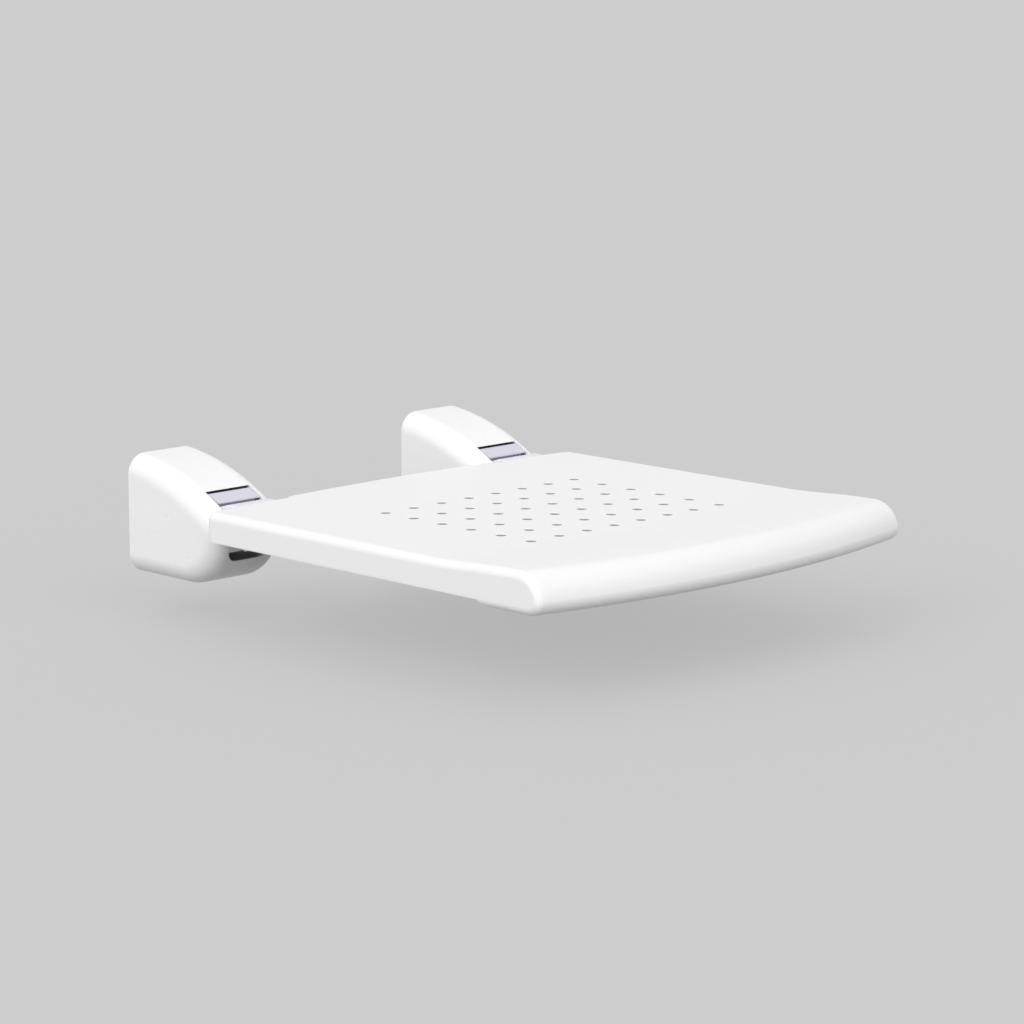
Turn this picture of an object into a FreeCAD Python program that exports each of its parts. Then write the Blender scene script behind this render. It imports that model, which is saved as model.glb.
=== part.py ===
import FreeCAD, Part
import math
import os
import re

import Sketcher
from FreeCAD import Vector

# A fold down wall seat: two wall brackets with moulded covers, and a perforated moulded seat on two arms
# that swing up about hinge pins in the brackets.
#
# Frame: +Z up, +X along the wall, the wall's face is the plane Y = 0 and the seat stands out toward -Y.
# The origin is mid-way between the brackets, at the height of their wall fixings.
# A distance "out" is measured from the wall, so it is minus Y. All sizes are in millimetres. A size that
# follows from others is written as a formula.

SIZES = [
    ("bracket_spacing", "=seat_width - cover_width - 2 * (notch_gap + seat_ear)",
     "between the middles of the two wall brackets"),
    ("seat_ear", 13, "seat left beside a cover's notch"),
    ("seat_height", 16, "the seat's top above the middle of the wall fixings"),
    ("pivot_out", 98.5, "hinge axis out from the wall"),
    ("pivot_drop", 13.5, "hinge axis below the seat's top"),
    ("running_gap", 0.05, "radial clearance of a fit"),
    ("play", 0.3, "gap between faces that pass each other"),
    ("seat_width", 432, "across the seat"),
    ("seat_depth", 432, "front to back at the middle of the seat"),
    ("rear_gap", 106, "from the wall to the seat's rear edge at the middle"),
    ("rear_bow", 15, "how far the rear edge bows toward the wall"),
    ("front_bow", 27, "how far the front edge bows outward"),
    ("seat_wall", 4, "wall of the seat moulding"),
    ("rim_depth", 25, "height of the seat's side wall"),
    ("rim_round", 7, "rounding of the seat's edges"),
    ("corner_round", 10, "rounding of the seat's rear corners in plan"),
    ("lip_rise", 3.5, "how far the front lip stands above the rest of the top"),
    ("lip_sweep", 100, "length over which the top rises to the lip"),
    ("lip_reach", 25, "length of the lip's upper curve, front to back"),
    ("lip_return", 16, "length of the lip's lower curve, front to back"),
    ("lip_drop", 19, "foremost line of the lip below the seat's top"),
    ("lip_depth", 30.5, "from the seat's top to the lip's foot"),
    ("lip_small_radius", 9.5, "tightest curve of the lip's nose"),
    ("lip_width", 54, "from the foremost line back to the lip's rear step"),
    ("lip_step", 11, "length of that step"),
    ("hole_radius", 4, "drain hole"),
    ("hole_pitch", 32, "drain holes across the seat"),
    ("hole_row_pitch", 34, "drain holes front to back"),
    ("hole_side", 104, "least distance from the seat's side to a drain hole"),
    ("hole_rear", 124, "least distance from the seat's rear edge to a drain hole"),
    ("hole_front", 13, "first row of drain holes behind the lip's sweep"),
    ("hole_columns", "=floor((seat_width - 2 * hole_side) / hole_pitch) + 1", "drain holes in a row"),
    ("hole_rows", "=floor((seat_depth - lip_reach - lip_sweep - hole_front - hole_rear) / hole_row_pitch) + 1",
     "rows of drain holes"),
    ("hole_middle_out", "=rear_gap + seat_depth - lip_reach - lip_sweep - hole_front"
     " - (hole_rows - 1) / 2 * hole_row_pitch", "middle of the drain holes out from the wall"),
    ("hole_bevel", 0.8, "bevel round a drain hole"),
    ("rib_wall", 2.5, "rib under the seat"),
    ("rib_depth", 8, "depth of those ribs"),
    ("rib_reach", 14, "how far the ribs run past the outer drain holes"),
    ("boss_radius", 5, "screw boss under the seat"),
    ("boss_depth", 8, "height of that boss"),
    ("notch_gap", 3, "between a cover's side and the seat's notch"),
    ("notch_out", 121.5, "front of the seat's notch out from the wall"),
    ("cover_width", 80, "across a cover"),
    ("cover_top", 47.5, "a cover's top above the middle of the fixings, at the wall"),
    ("cover_foot", 56.3, "a cover's sole below the middle of the fixings"),
    ("cover_reach", 115.5, "a cover's nose out from the wall"),
    ("crest_radius", 245, "curve of a cover's back"),
    ("brow_out", 104, "where the back turns into the nose, out from the wall"),
    ("brow_rise", 12.5, "height of that line above the middle of the fixings"),
    ("cover_round", 18, "rounding along a cover's sides"),
    ("cover_wall", 2.5, "wall of a cover"),
    ("window_side", 16, "from a cover's side to its window"),
    ("window_width", "=cover_width - 2 * window_side", "opening that the arm comes through"),
    ("window_top", 23.7, "upper edge of the opening above the fixings' middle"),
    ("window_foot", 34, "lower edge of the opening below the fixings' middle"),
    ("window_round", 12, "lower corners of the opening"),
    ("gasket_wall", 1.5, "sealing gasket on the wall"),
    ("plate_wall", 5, "back plate of a bracket"),
    ("plate_gap", 2, "between that plate's sides and the cover"),
    ("plate_width", "=cover_width - 2 * (cover_wall + plate_gap)", "across that plate"),
    ("plate_top", 41, "its top above the middle of the fixings"),
    ("plate_foot", 50, "its foot below the middle of the fixings"),
    ("plate_round", 16, "its corners"),
    ("fix_radius", 4.25, "wall fixing hole"),
    ("fix_across", 40, "between fixing holes along the wall"),
    ("fix_up", 70, "between fixing holes up the wall"),
    ("cheek_gap", "=knuckle_width + 2 * (bush_flange + play + washer_wall)", "between a bracket's two cheeks"),
    ("cheek_wall", 4.5, "thickness of a cheek"),
    ("cheek_root", 22, "a cheek's top at the back plate"),
    ("cheek_radius", 6.8, "end of a cheek round the hinge pin"),
    ("shelf_wall", 6, "floor between the cheeks"),
    ("shelf_root", 24, "underside of that floor at the back plate"),
    ("shelf_foot", 25, "underside of that floor under the hinge"),
    ("shelf_bend", 84, "where that floor turns level, out from the wall"),
    ("shelf_out", 106.5, "front of the cheeks at the floor's underside"),
    ("cheek_out", 109, "foremost corner of the cheeks out from the wall"),
    ("cheek_shoulder", 15, "that corner below the fixings' middle"),
    ("ledge_out", 111.2, "front of the floor's ledge, which carries the stop screw"),
    ("ledge_width", "=window_width - 2 * side_gap", "across that ledge"),
    ("stop_out", 106, "stop screw out from the wall"),
    ("stop_radius", 3, "stop screw's shank"),
    ("stop_head", 10, "across the flats of its head and nut"),
    ("stop_head_height", 4, "height of the head and of the nut"),
    ("stop_tail", 2, "how far the stop screw passes the floor"),
    ("pad_wall", 1, "side of the rubber stop cap"),
    ("pad_top", 1.5, "top of that cap"),
    ("pin_radius", 4, "hinge pin"),
    ("pin_head_radius", 5.3, "its head and its retaining ring"),
    ("pin_head", 2.2, "thickness of that head"),
    ("ring_wall", 1, "thickness of the retaining ring"),
    ("ring_depth", 0.6, "groove of the retaining ring"),
    ("bush_wall", 1.5, "wall of a hinge bush"),
    ("bush_length", 12, "how far it goes into the knuckle"),
    ("bush_flange", 1, "thickness of its flange"),
    ("flange_radius", 8, "outside of that flange and of the washer"),
    ("washer_wall", 0.5, "thickness of the washer between knuckle and cheek"),
    ("side_gap", 1, "from the window's side to the cap and to the ledge"),
    ("knuckle_gap", 1.3, "from the window's side to the knuckle"),
    ("knuckle_width", "=window_width - 2 * knuckle_gap", "across the arm's knuckle"),
    ("knuckle_radius", 9.5, "round the back and foot of the knuckle"),
    ("shroud_out", 85.2, "back edge of the knuckle's sloping roof"),
    ("shroud_rise", 5.9, "that edge above the seat's top"),
    ("shroud_front", 99.2, "front edge of that roof"),
    ("shroud_eave", 0.2, "that edge above the seat's top"),
    ("shroud_wall", 1.2, "thickness of the roof at its front edge"),
    ("slot_out", 93, "back of the slot under the roof"),
    ("slot_rise", 0.5, "top of the slot at its back above the seat's top"),
    ("arm_width", "=cap_width - 2 * cap_side", "across an arm"),
    ("arm_depth", 19, "height of an arm"),
    ("arm_gap", 17, "between an arm's end and the lip's rear step"),
    ("arm_end", "=rear_gap + seat_depth - lip_width - lip_step - arm_gap", "an arm's end out from the wall"),
    ("land_end", 119, "front of the arm's deeper part, which meets the stop"),
    ("cap_start", 101.8, "back of the arm's cap"),
    ("cap_width", "=window_width - 2 * side_gap", "across the cap"),
    ("cap_side", 3, "from the arm's side to the cap's outer side"),
    ("cap_skirt", 2.3, "how far the cap's sides reach down"),
    ("cap_ramp", 9.2, "length of the cap's ramp at its back"),
    ("cap_dip", 2.8, "how far the ramp falls"),
    ("cap_gap", 0.2, "between the cap and what it meets"),
    ("cap_round", 1.5, "rounding of the cap's long edges"),
    ("peg_radius", 3, "peg that holds the cap in the arm"),
    ("peg_length", 5.5, "length of that peg"),
    ("screw_radius", 2.5, "arm screw"),
    ("screw_head_radius", 4.5, "its head"),
    ("screw_head", 2.8, "height of that head"),
    ("screw_first", 150, "first arm screw out from the wall"),
    ("screw_last", 40, "from the front tube back to the last arm screw"),
    ("screw_pitch", "=(front_tube_out - screw_last - screw_first) / 3", "between arm screws"),
    ("screw_web", 4, "arm metal under a screw's head"),
    ("screw_shank", 11, "length of its shank"),
    ("screw_socket", 4, "across the flats of its socket"),
    ("arm_web", 4, "arm metal above the pockets under it"),
    ("pocket_side", 5, "arm metal beside those pockets"),
    ("pocket_clear", 11, "from a pocket's end to the nearest screw or tube"),
    ("tube_radius", 6, "cross tube"),
    ("tube_wall", 1.5, "its wall"),
    ("tube_below", 14, "its axis below the seat's top"),
    ("tube_past", 3, "how far a tube passes the arms"),
    ("rear_tube_out", "=screw_first + screw_pitch / 2", "rear cross tube out from the wall"),
    ("tube_back", 14, "from an arm's end back to the front tube"),
    ("front_tube_out", "=arm_end - tube_back", "front cross tube out from the wall"),
    ("plug_flange", 2, "end plug's flange"),
    ("plug_length", 8, "end plug's stem"),
    ("roll_pin_radius", 1.5, "pin that holds a tube in an arm"),
    ("cover_screw_radius", 2, "cover screw"),
    ("cover_screw_head_radius", 3.8, "its head"),
    ("cover_screw_head", 1.8, "height of that head"),
    ("cover_screw_shank", 11, "length of its shank"),
    ("cover_screw_across", 16, "between a cover's two screws"),
    ("cover_screw_out", 16, "those screws out from the wall"),
    ("lug_wall", 4.3, "metal round a cover screw in the plate's lug"),
    ("lug_height", 13, "height of that lug"),
]

doc = FreeCAD.newDocument("FoldDownWallSeat")
sheet = doc.addObject("Spreadsheet::Sheet", "Sizes")
for row, (alias, value, note) in enumerate(SIZES, 1):
    sheet.setAlias(f"A{row}", alias)
    sheet.set(f"B{row}", "'" + note)
for row, (alias, value, note) in enumerate(SIZES, 1):
    sheet.set(f"A{row}", str(value))
doc.recompute()

ALIASES = re.compile(r"\b(" + "|".join(alias for alias, _, _ in SIZES) + r")\b")


def bound(text):
    """An expression with each size's name written as its cell in the sheet."""
    return ALIASES.sub(r"Sizes.\1", text)


def number(text):
    """What an expression comes to now."""
    return float(sheet.evalExpression(bound(text)))


def bind(thing, prop, text):
    """Ties a property to an expression of the sheet's sizes."""
    thing.setExpression(prop, bound(text))


def new_body(label, out="0", height="0", across="0"):
    """An empty body for one node, placed out from the wall, up and along it."""
    body = doc.addObject("PartDesign::Body", label)
    body.Label = label
    bind(body, "Placement.Base.x", across)
    bind(body, "Placement.Base.y", f"-({out})")
    bind(body, "Placement.Base.z", height)
    return body


def origin_part(body, role):
    return next(o for o in body.Origin.OriginFeatures if o.Role == role)


def new_sketch(body, name, role, lift="0"):
    """A sketch on one of the body's own origin planes, lifted along the plane's normal."""
    drawn = body.newObject("Sketcher::SketchObject", name)
    drawn.AttachmentSupport = [(origin_part(body, role), "")]
    drawn.MapMode = "FlatFace"
    bind(drawn, "AttachmentOffset.Base.z", lift)
    return drawn


def tie(drawn, constraint, text):
    """Adds a constraint whose value is an expression."""
    index = drawn.addConstraint(constraint)
    drawn.setExpression(f"Constraints[{index}]", bound(text))


def arc_between(start, end, turn):
    """The arc from start to end that turns by an angle, and which of its ends is start's."""
    chord = end - start
    radius = chord.Length / 2 / math.sin(abs(turn) / 2)
    side = 1 if turn > 0 else -1
    across = Vector(-chord.y, chord.x, 0).normalize() * side
    middle = (start + end) * 0.5 + across * (radius * math.cos(turn / 2))
    angles = [math.atan2(p.y - middle.y, p.x - middle.x) for p in (start, end)]
    circle = Part.Circle(middle, Vector(0, 0, 1), radius)
    if turn > 0:
        return Part.ArcOfCircle(circle, angles[0], angles[1]), 1
    return Part.ArcOfCircle(circle, angles[1], angles[0]), 2


def outline(drawn, corners):
    """Draws a closed outline. Each corner is (x, y) and, where an arc leaves it, that arc's radius, which is
    positive where it turns left and negative where it turns right."""
    spots = [Vector(number(corner[0]), number(corner[1]), 0) for corner in corners]
    edges = []
    for i, corner in enumerate(corners):
        start, end = spots[i], spots[(i + 1) % len(spots)]
        if len(corner) == 2:
            curve, first = Part.LineSegment(start, end), 1
        else:
            turn = 2 * math.asin((end - start).Length / 2 / number(corner[2]))
            curve, first = arc_between(start, end, turn)
        edges.append((drawn.addGeometry(curve), first))
    for i, (edge, first) in enumerate(edges):
        before, its_first = edges[i - 1]
        drawn.addConstraint(Sketcher.Constraint("Coincident", before, 3 - its_first, edge, first))
    for (edge, first), corner, spot in zip(edges, corners, spots):
        tie(drawn, Sketcher.Constraint("DistanceX", -1, 1, edge, first, spot.x), corner[0])
        tie(drawn, Sketcher.Constraint("DistanceY", -1, 1, edge, first, spot.y), corner[1])
        if len(corner) == 3:
            radius = f"abs({corner[2]})"
            tie(drawn, Sketcher.Constraint("Radius", edge, number(radius)), radius)


def feature(body, kind, name, drawn, length, symmetric=False, reverse=False):
    """A pad or pocket of a sketch."""
    made = body.newObject("PartDesign::" + kind, name)
    made.Profile = drawn
    bind(made, "Length", length)
    made.SideType = "Symmetric" if symmetric else "One side"
    made.Reversed = reverse
    return made


def edges_near(shape, test):
    """Names of the edges whose sampled points all pass a test."""
    names = []
    for i, edge in enumerate(shape.Edges, 1):
        points = edge.discretize(5)
        if all(test(p) for p in points):
            names.append(f"Edge{i}")
    return names


def fillet(body, name, base, radius, test):
    """Rounds the edges of a feature that pass a test."""
    doc.recompute()
    made = body.newObject("PartDesign::Fillet", name)
    made.Base = (base, edges_near(base.Shape, test))
    bind(made, "Radius", radius)
    return made


def ring(drawn, x, y, radius):
    """Draws a circle."""
    edge = drawn.addGeometry(Part.Circle(Vector(number(x), number(y), 0), Vector(0, 0, 1), number(radius)))
    tie(drawn, Sketcher.Constraint("DistanceX", -1, 1, edge, 3, number(x)), x)
    tie(drawn, Sketcher.Constraint("DistanceY", -1, 1, edge, 3, number(y)), y)
    tie(drawn, Sketcher.Constraint("Radius", edge, number(radius)), radius)


def rectangle(drawn, left, right, foot, top):
    outline(drawn, [(left, foot), (right, foot), (right, top), (left, top)])


def rounded_rectangle(drawn, left, right, foot, top, radius):
    """A rectangle whose corners are quarter circles."""
    outline(drawn, [
        (f"{left} + {radius}", foot), (f"{right} - {radius}", foot, radius),
        (right, f"{foot} + {radius}"), (right, f"{top} - {radius}", radius),
        (f"{right} - {radius}", top), (f"{left} + {radius}", top, radius),
        (left, f"{top} - {radius}"), (left, f"{foot} + {radius}", radius),
    ])


def hexagon(drawn, x, y, across):
    """A hexagon of a given size across its flats."""
    corner = f"({across} / 2 / cos(30))"
    outline(drawn, [(f"{x} + {corner} * cos({60 * i})", f"{y} + {corner} * sin({60 * i})") for i in range(6)])


def mirrored(body, name, originals):
    """Repeats features on the other side of the body's own middle plane."""
    made = body.newObject("PartDesign::Mirrored", name)
    made.Originals = originals
    made.MirrorPlane = (origin_part(body, "YZ_Plane"), "")
    body.Tip = made
    return made


def grid(body, name, originals, steps):
    """Repeats features in rows: each step is an axis, how many and how far apart."""
    made = body.newObject("PartDesign::LinearPattern", name)
    made.Originals = originals
    for suffix, (role, count, spacing) in zip(("", "2"), steps):
        setattr(made, "Direction" + suffix, (origin_part(body, role), ""))
        setattr(made, "Mode" + suffix, "Extent")
        setattr(made, "Occurrences" + suffix, count)
        bind(made, "Length" + suffix, f"{count - 1} * ({spacing})")
    body.Tip = made
    return made


def turned(body, name, axis, profile):
    """A turned solid about the body's X or Z axis. The profile is points (along the axis, radius)."""
    drawn = new_sketch(body, name + "Profile", "XZ_Plane")
    if axis == "X":
        outline(drawn, profile)
    else:
        outline(drawn, [(radius, along) for along, radius in profile])
    made = body.newObject("PartDesign::Revolution", name)
    made.Profile = drawn
    made.ReferenceAxis = (drawn, ["H_Axis" if axis == "X" else "V_Axis"])
    made.Angle = 360
    return made


# The seat moulding.

FRONT = "(rear_gap + seat_depth)"
FRONT_RADIUS = "((seat_width ^ 2 / 4 + front_bow ^ 2) / (2 * front_bow))"
REAR_RADIUS = "((seat_width ^ 2 / 4 + rear_bow ^ 2) / (2 * rear_bow))"


def quarter_oval(length, height, small):
    """Two arcs that run smoothly round a quarter of an oval: the larger one's radius, and where they join,
    measured along the length and up the height from the oval's middle."""
    large = f"(({length} ^ 2 + {height} ^ 2 - 2 * {length} * {small}) / (2 * ({height} - {small})))"
    along = f"(({length} - {small}) * {large} / ({large} - {small}))"
    rise = f"({small} * ({large} - {height}) / ({large} - {small}))"
    return large, along, rise


def lip_corners(inset):
    """The front lip's section from the seat's top round to its foot, taken in by the inset."""
    tip = "(seat_height - lip_drop)"
    upper, lower = f"(lip_reach - {inset})", f"(lip_return - {inset})"
    crown = f"(lip_drop + lip_rise - {inset})"
    keel = f"(lip_depth - lip_drop - {inset})"
    small = f"(lip_small_radius - {inset})"
    large, along, rise = quarter_oval(upper, crown, small)
    under_large, under_along, under_rise = quarter_oval(lower, keel, small)
    upper_middle = f"({FRONT} - lip_reach)"
    lower_middle = f"({FRONT} - lip_return)"
    return [
        (f"-{upper_middle}", f"{tip} + {crown}", large),
        (f"-({upper_middle} + {along})", f"{tip} + {rise}", small),
        (f"-({upper_middle} + {upper})", tip, small),
        (f"-({lower_middle} + {under_along})", f"{tip} - {under_rise}", under_large),
        (f"-{lower_middle}", f"{tip} - {keel}"),
    ]


def spun(body, kind, name, section, angle):
    """Spins a section about the upright axis that the front edge curves round, half each way."""
    middle = number(f"{FRONT_RADIUS} - {FRONT}")
    axis = section.addGeometry(Part.LineSegment(Vector(middle, 0, 0), Vector(middle, 100, 0)), True)
    section.addConstraint(Sketcher.Constraint("Vertical", axis))
    tie(section, Sketcher.Constraint("DistanceX", -1, 1, axis, 1, middle), f"{FRONT_RADIUS} - {FRONT}")
    made = body.newObject(kind, name)
    made.Profile = section
    made.ReferenceAxis = (section, ["Axis0"])
    bind(made, "Angle", angle)
    made.Midplane = True
    return made


def rims(shape, level, radius):
    """Names of the circular edges of one radius that lie at one height."""
    names = []
    for i, edge in enumerate(shape.Edges, 1):
        round_edge = edge.Curve.TypeId == "Part::GeomCircle" and abs(edge.Curve.Radius - radius) < 0.001
        if round_edge and all(abs(p.z - level) < 0.01 for p in edge.discretize(3)):
            names.append(f"Edge{i}")
    return names


def rear_line(x):
    """How far out the seat's rear edge is at a distance x from the middle."""
    return f"(rear_gap + {REAR_RADIUS} - sqrt({REAR_RADIUS} ^ 2 - ({x}) ^ 2))"


def plan(inset, front_radius=None):
    """The seat's outline seen from above, taken in by the inset. Its front is an arc about the front edge's
    own centre, or a straight line far past the front."""
    half = f"(seat_width / 2 - {inset})"
    near = f"(bracket_spacing / 2 - cover_width / 2 - notch_gap - {inset})"
    far = f"(bracket_spacing / 2 + cover_width / 2 + notch_gap + {inset})"
    notch = f"-(notch_out + {inset})"
    beyond = f"-({FRONT} + 20)"
    start = (f"-{half}", beyond)
    if front_radius:
        beyond = f"({FRONT_RADIUS} - {FRONT} - sqrt({front_radius} ^ 2 - {half} ^ 2))"
        start = (f"-{half}", beyond, front_radius)

    def rear(x):
        return f"-({rear_line(x)} + {inset})"

    return [
        start,
        (half, beyond),
        (half, rear(half), REAR_RADIUS),
        (far, rear(far)),
        (far, notch),
        (near, notch),
        (near, rear(near), REAR_RADIUS),
        (f"-{near}", rear(near)),
        (f"-{near}", notch),
        (f"-{far}", notch),
        (f"-{far}", rear(far), REAR_RADIUS),
        (f"-{half}", rear(half)),
    ]


def seat_shell():
    body = new_body("seat_shell")
    section = new_sketch(body, "SeatSection", "YZ_Plane")
    back = "-(rear_gap - 2 * rear_bow)"
    turn = f"2 * asin(0.6 * seat_width / ({FRONT_RADIUS} - {FRONT} + rear_gap))"
    sweep = "((lip_sweep ^ 2 + lip_rise ^ 2) / (4 * lip_rise))"
    outline(section, [
        (back, "seat_height"),
        (f"-({FRONT} - lip_reach - lip_sweep)", "seat_height", f"-1 * {sweep}"),
        (f"-({FRONT} - lip_reach - lip_sweep / 2)", "seat_height + lip_rise / 2", sweep),
        *lip_corners("0"),
        (back, "seat_height - lip_depth"),
    ])
    spun(body, "PartDesign::Revolution", "SeatBlank", section, turn)
    trim = new_sketch(body, "SeatPlan", "XY_Plane")
    rectangle(trim, "-2 * seat_width", "2 * seat_width", f"-2 * {FRONT}", "rear_gap")
    outline(trim, plan("0"))
    cut = feature(body, "Pocket", "SeatTrim", trim, "10 * rim_depth", symmetric=True)
    side, rear = number("seat_width / 2"), number("rear_gap + rear_bow")
    corners = fillet(body, "SeatCorners", cut, "corner_round",
                     lambda p: abs(abs(p.x) - side) < 0.1 and abs(p.y + rear) < 0.1)
    near = number("bracket_spacing / 2 - cover_width / 2 - notch_gap")
    top, tip = number("seat_height"), number("seat_height - lip_drop")
    notch = number(f"-{rear_line('bracket_spacing / 2 - cover_width / 2 - notch_gap')}")
    fillet(body, "SeatRim", corners, "rim_round",
           lambda p: (abs(abs(p.x) - side) < 0.1 and p.z > tip - 0.1)
           or (abs(p.x) < near + 0.1 and p.z > top - 0.1 and p.y > notch - 0.1))
    under_side = new_sketch(body, "UndersideSection", "YZ_Plane")
    outline(under_side, [
        (back, "seat_height - rim_depth"),
        (f"-({FRONT} - lip_width - lip_step)", "seat_height - rim_depth"),
        (f"-({FRONT} - lip_width)", "seat_height - lip_depth"),
        (f"-({FRONT} - lip_width)", "seat_height - 2 * lip_depth"),
        (back, "seat_height - 2 * lip_depth"),
    ])
    spun(body, "PartDesign::Groove", "UndersideCut", under_side, turn)
    hollow = new_sketch(body, "SeatHollow", "XY_Plane", "seat_height - seat_wall")
    outline(hollow, plan("seat_wall", f"({FRONT_RADIUS} - lip_reach)"))
    feature(body, "Pocket", "SeatCavity", hollow, "5 * rim_depth")
    inner = new_sketch(body, "LipSection", "YZ_Plane")
    outline(inner, [
        *lip_corners("seat_wall"),
        (f"-({FRONT} - lip_return)", "seat_height - 2 * lip_depth"),
        (f"-({FRONT} - lip_reach - seat_wall)", "seat_height - 2 * lip_depth"),
        (f"-({FRONT} - lip_reach - seat_wall)", "seat_height - seat_wall"),
        (f"-({FRONT} - lip_reach)", "seat_height - seat_wall"),
    ])
    spun(body, "PartDesign::Groove", "LipCavity", inner,
         f"2 * asin((seat_width / 2 - seat_wall) / ({FRONT_RADIUS} - seat_wall))")
    ways = new_sketch(body, "ArmWays", "XY_Plane", "seat_height - seat_wall")
    for sign in ("-", ""):
        middle = f"{sign}bracket_spacing / 2"
        rectangle(ways, f"{middle} - arm_width / 2 - play", f"{middle} + arm_width / 2 + play",
                  "-(notch_out + 2 * seat_wall)", "-(notch_out - seat_wall)")
    feature(body, "Pocket", "ArmWayCut", ways, "5 * rim_depth")

    columns, rows = round(number("hole_columns")), round(number("hole_rows"))
    far_x, far_y = "((hole_columns - 1) / 2 * hole_pitch)", "((hole_rows - 1) / 2 * hole_row_pitch)"
    drain = new_sketch(body, "DrainHole", "XY_Plane", "seat_height + lip_rise")
    ring(drain, f"-{far_x}", f"-(hole_middle_out + {far_y})", "hole_radius")
    hole = feature(body, "Pocket", "DrainCut", drain, "2 * seat_wall")
    grid(body, "DrainHoles", [hole], [("X_Axis", columns, "hole_pitch"), ("Y_Axis", rows, "hole_row_pitch")])

    under = "seat_height - seat_wall"
    long_rib = new_sketch(body, "LongRib", "XY_Plane", under)
    rib_half = "hole_columns / 2 * hole_pitch"
    rectangle(long_rib, f"-({rib_half}) - rib_wall / 2", f"-({rib_half}) + rib_wall / 2",
              f"-(hole_middle_out + {far_y} + rib_reach)", f"-(hole_middle_out - {far_y} - rib_reach)")
    long_pad = feature(body, "Pad", "LongRibPad", long_rib, "rib_depth", reverse=True)
    grid(body, "LongRibs", [long_pad], [("X_Axis", columns + 1, "hole_pitch")])
    cross_rib = new_sketch(body, "CrossRib", "XY_Plane", under)
    first_rib = "(hole_middle_out + (hole_rows / 2 - 1) * hole_row_pitch)"
    rectangle(cross_rib, f"-({rib_half})", rib_half,
              f"-{first_rib} - rib_wall / 2", f"-{first_rib} + rib_wall / 2")
    cross_pad = feature(body, "Pad", "CrossRibPad", cross_rib, "rib_depth", reverse=True)
    grid(body, "CrossRibs", [cross_pad], [("Y_Axis", rows - 1, "hole_row_pitch")])

    boss = new_sketch(body, "Boss", "XY_Plane", under)
    thread = new_sketch(body, "BossBore", "XY_Plane", f"{under} - boss_depth")
    for sign in ("-", ""):
        ring(boss, f"{sign}bracket_spacing / 2", "-(screw_first + 3 * screw_pitch)", "boss_radius")
        ring(thread, f"{sign}bracket_spacing / 2", "-(screw_first + 3 * screw_pitch)",
             "screw_radius + running_gap")
    boss_pad = feature(body, "Pad", "BossPad", boss, "boss_depth", reverse=True)
    bore = feature(body, "Pocket", "BossBoreCut", thread, "boss_depth + seat_wall / 2", reverse=True)
    grid(body, "Bosses", [boss_pad, bore], [("Y_Axis", 4, "screw_pitch")])
    doc.recompute()
    pierced = body.Tip
    bevel = body.newObject("PartDesign::Chamfer", "DrainBevels")
    bevel.Base = (pierced, rims(pierced.Shape, number("seat_height"), number("hole_radius")))
    bind(bevel, "Size", "hole_bevel")


# The wall brackets.

HINGE_HEIGHT = "(seat_height - pivot_drop)"
CHEEKS = "(cheek_gap + 2 * cheek_wall)"
LAND_FOOT = f"({HINGE_HEIGHT} - knuckle_radius)"
PLATE_FACE = "(gasket_wall + plate_wall)"
SIDES = {"left": "-bracket_spacing / 2", "right": "bracket_spacing / 2"}
SIGNS = ("-", "")


def plate_outline(drawn):
    """The back plate's outline with its four fixing holes."""
    rounded_rectangle(drawn, "-plate_width / 2", "plate_width / 2", "-plate_foot", "plate_top", "plate_round")
    for across in SIGNS:
        for up in SIGNS:
            ring(drawn, f"{across}fix_across / 2", f"{up}fix_up / 2", "fix_radius")


def wall_gasket(side, across):
    body = new_body(f"wall_gasket_{side}", across=across)
    drawn = new_sketch(body, "GasketOutline", "XZ_Plane")
    plate_outline(drawn)
    feature(body, "Pad", "Gasket", drawn, "gasket_wall")


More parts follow.
